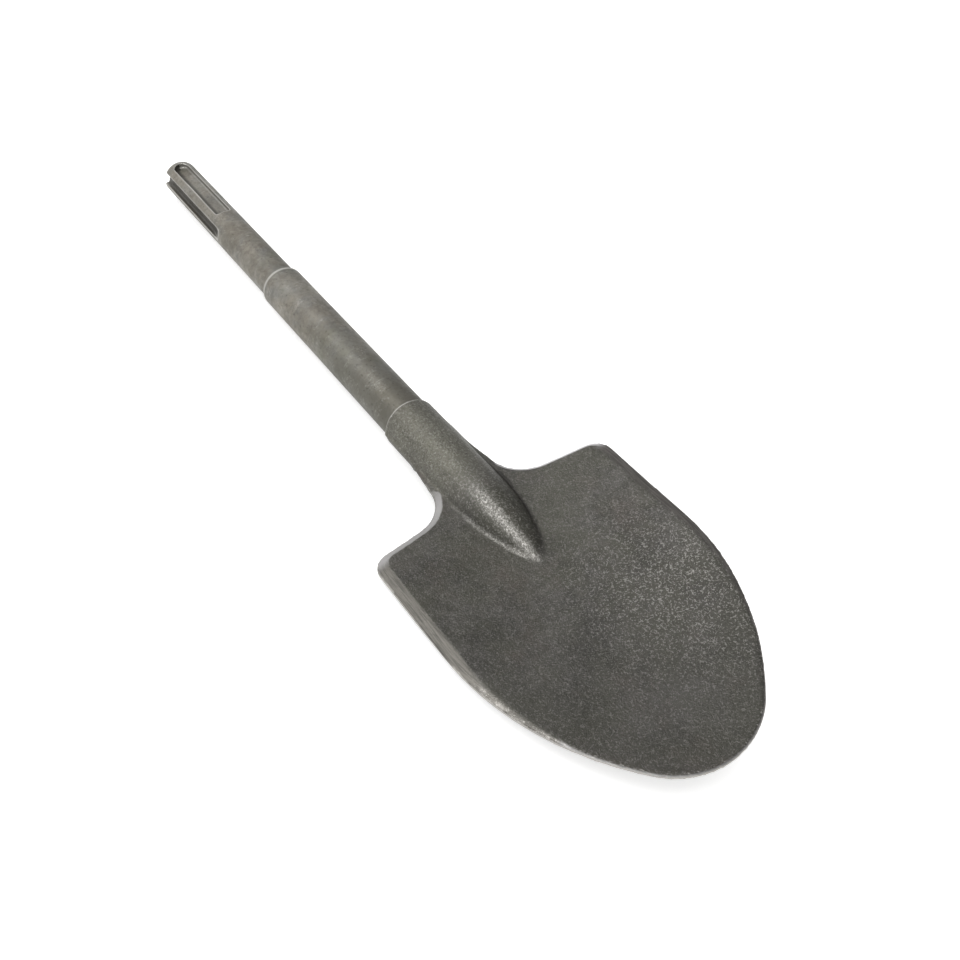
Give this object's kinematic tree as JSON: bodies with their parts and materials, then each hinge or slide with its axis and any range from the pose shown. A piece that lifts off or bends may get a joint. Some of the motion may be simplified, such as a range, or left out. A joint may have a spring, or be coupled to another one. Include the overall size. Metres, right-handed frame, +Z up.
{
  "type": "asphalt spade chisel",
  "caption": "Forged spade chisel for a demolition hammer: slotted round shank, stepped collar, and a wide dished blade with a pointed centre rib.",
  "frame": {"origin": "centre of the struck end face of the shank, on the shank axis", "axes": "+X along the shank towards the cutting edge, +Z up as the tool lies at rest on its neck and one edge of the blade"},
  "size_m": [0.4358, 0.1014, 0.0327],
  "materials": {
    "forged_steel": "forged and shot-blasted steel, oiled; shank and collar turned"
  },
  "bodies": {
    "root": {"spade_chisel": "forged_steel"}
  },
  "joints": []
}
